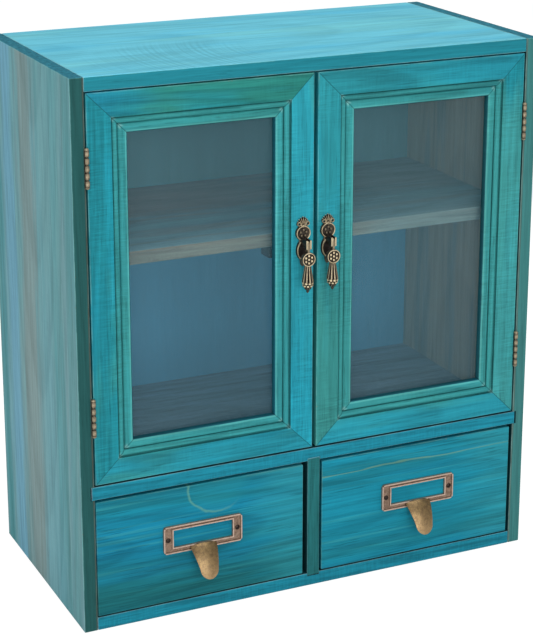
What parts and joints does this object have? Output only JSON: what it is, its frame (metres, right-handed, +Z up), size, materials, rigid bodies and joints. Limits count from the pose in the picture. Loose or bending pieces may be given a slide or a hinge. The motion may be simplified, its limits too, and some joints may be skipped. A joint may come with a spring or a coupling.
{
  "type": "sewing thread drawer cabinet",
  "caption": "Tabletop thread cabinet in stained wood: glazed mitred doors with drop pulls over drawers with label-holder pulls, and a shelf behind the glass.",
  "frame": {"origin": "centre of the base footprint, on the surface that the cabinet stands on", "axes": "+X to the right seen from the front, +Y towards the back, +Z up"},
  "size_m": [0.36, 0.1952, 0.4],
  "materials": {
    "side_wood": "translucent stain over softwood, lightly worn",
    "top_wood": "translucent stain over softwood, lightly worn",
    "door_wood": "translucent stain over softwood, lightly worn",
    "shelf_wood": "translucent stain over softwood, lightly worn",
    "drawer_wood": "translucent stain over softwood, lightly worn",
    "drawer_box_wood": "bare softwood",
    "back_wood": "thin stained board",
    "glass": "clear, polished",
    "antique_brass": "antiqued, speckled, rubbed light on the rims",
    "dark_bronze": "dark patina rubbed bright on the relief",
    "hinge_metal": "dull antique plating",
    "screw_metal": "dark antique plating",
    "steel": "plain steel",
    "catch_body": "matte black",
    "magnet": "grey ferrite"
  },
  "bodies": {
    "carcass": {"side_panel_left": "side_wood", "side_panel_right": "side_wood", "top_panel": "top_wood", "bottom_panel": "shelf_wood", "middle_shelf": "shelf_wood", "inner_shelf": "shelf_wood", "drawer_divider": "shelf_wood", "back_panel": "back_wood", "left_upper_hinge_base": "hinge_metal", "left_lower_hinge_base": "hinge_metal", "right_upper_hinge_base": "hinge_metal", "right_lower_hinge_base": "hinge_metal", "hinge_pins": "hinge_metal", "hinge_base_screws": "screw_metal", "magnetic_catch": "catch_body", "catch_magnets": "magnet", "catch_screws": "steel"},
    "left_door": {"left_door_hinge_stile": "door_wood", "left_door_top_rail": "door_wood", "left_door_meeting_stile": "door_wood", "left_door_bottom_rail": "door_wood", "left_door_glass_pane": "glass", "left_door_glass_stops": "door_wood", "left_door_strike_plate": "steel", "left_door_upper_hinge_leaf": "hinge_metal", "left_door_lower_hinge_leaf": "hinge_metal", "left_door_hinge_screws": "screw_metal", "left_door_pull_plate": "dark_bronze", "left_door_pull_nut": "steel", "left_door_pull_rivet": "dark_bronze"},
    "right_door": {"right_door_hinge_stile": "door_wood", "right_door_top_rail": "door_wood", "right_door_meeting_stile": "door_wood", "right_door_bottom_rail": "door_wood", "right_door_glass_pane": "glass", "right_door_glass_stops": "door_wood", "right_door_strike_plate": "steel", "right_door_upper_hinge_leaf": "hinge_metal", "right_door_lower_hinge_leaf": "hinge_metal", "right_door_hinge_screws": "screw_metal", "right_door_pull_plate": "dark_bronze", "right_door_pull_nut": "steel", "right_door_pull_rivet": "dark_bronze"},
    "left_pendant": {"left_door_pull_pendant": "dark_bronze"},
    "right_pendant": {"right_door_pull_pendant": "dark_bronze"},
    "left_drawer": {"left_drawer_front": "drawer_wood", "left_drawer_left_wall": "drawer_box_wood", "left_drawer_right_wall": "drawer_box_wood", "left_drawer_back_wall": "drawer_box_wood", "left_drawer_bottom": "drawer_box_wood", "left_drawer_label_pull": "antique_brass", "left_drawer_pull_screws": "screw_metal"},
    "right_drawer": {"right_drawer_front": "drawer_wood", "right_drawer_left_wall": "drawer_box_wood", "right_drawer_right_wall": "drawer_box_wood", "right_drawer_back_wall": "drawer_box_wood", "right_drawer_bottom": "drawer_box_wood", "right_drawer_label_pull": "antique_brass", "right_drawer_pull_screws": "screw_metal"}
  },
  "joints": [
    {"name": "left_door_hinge", "type": "hinge", "parent": "carcass", "child": "left_door", "pos_m": [-0.1695, -0.0912, 0.25], "axis": [0, 0, -1], "range_deg": [0, 180]},
    {"name": "right_door_hinge", "type": "hinge", "parent": "carcass", "child": "right_door", "pos_m": [0.1695, -0.0912, 0.25], "axis": [0, 0, 1], "range_deg": [0, 180]},
    {"name": "left_pendant_swing", "type": "hinge", "parent": "left_door", "child": "left_pendant", "pos_m": [-0.0105, -0.0988, 0.2688], "axis": [-1, 0, 0], "range_deg": [0, 100]},
    {"name": "right_pendant_swing", "type": "hinge", "parent": "right_door", "child": "right_pendant", "pos_m": [0.009, -0.0988, 0.2688], "axis": [-1, 0, 0], "range_deg": [0, 100]},
    {"name": "left_drawer_slide", "type": "slide", "parent": "carcass", "child": "left_drawer", "axis": [0, -1, 0], "range_m": [0, 0.13]},
    {"name": "right_drawer_slide", "type": "slide", "parent": "carcass", "child": "right_drawer", "axis": [0, -1, 0], "range_m": [0, 0.13]}
  ]
}
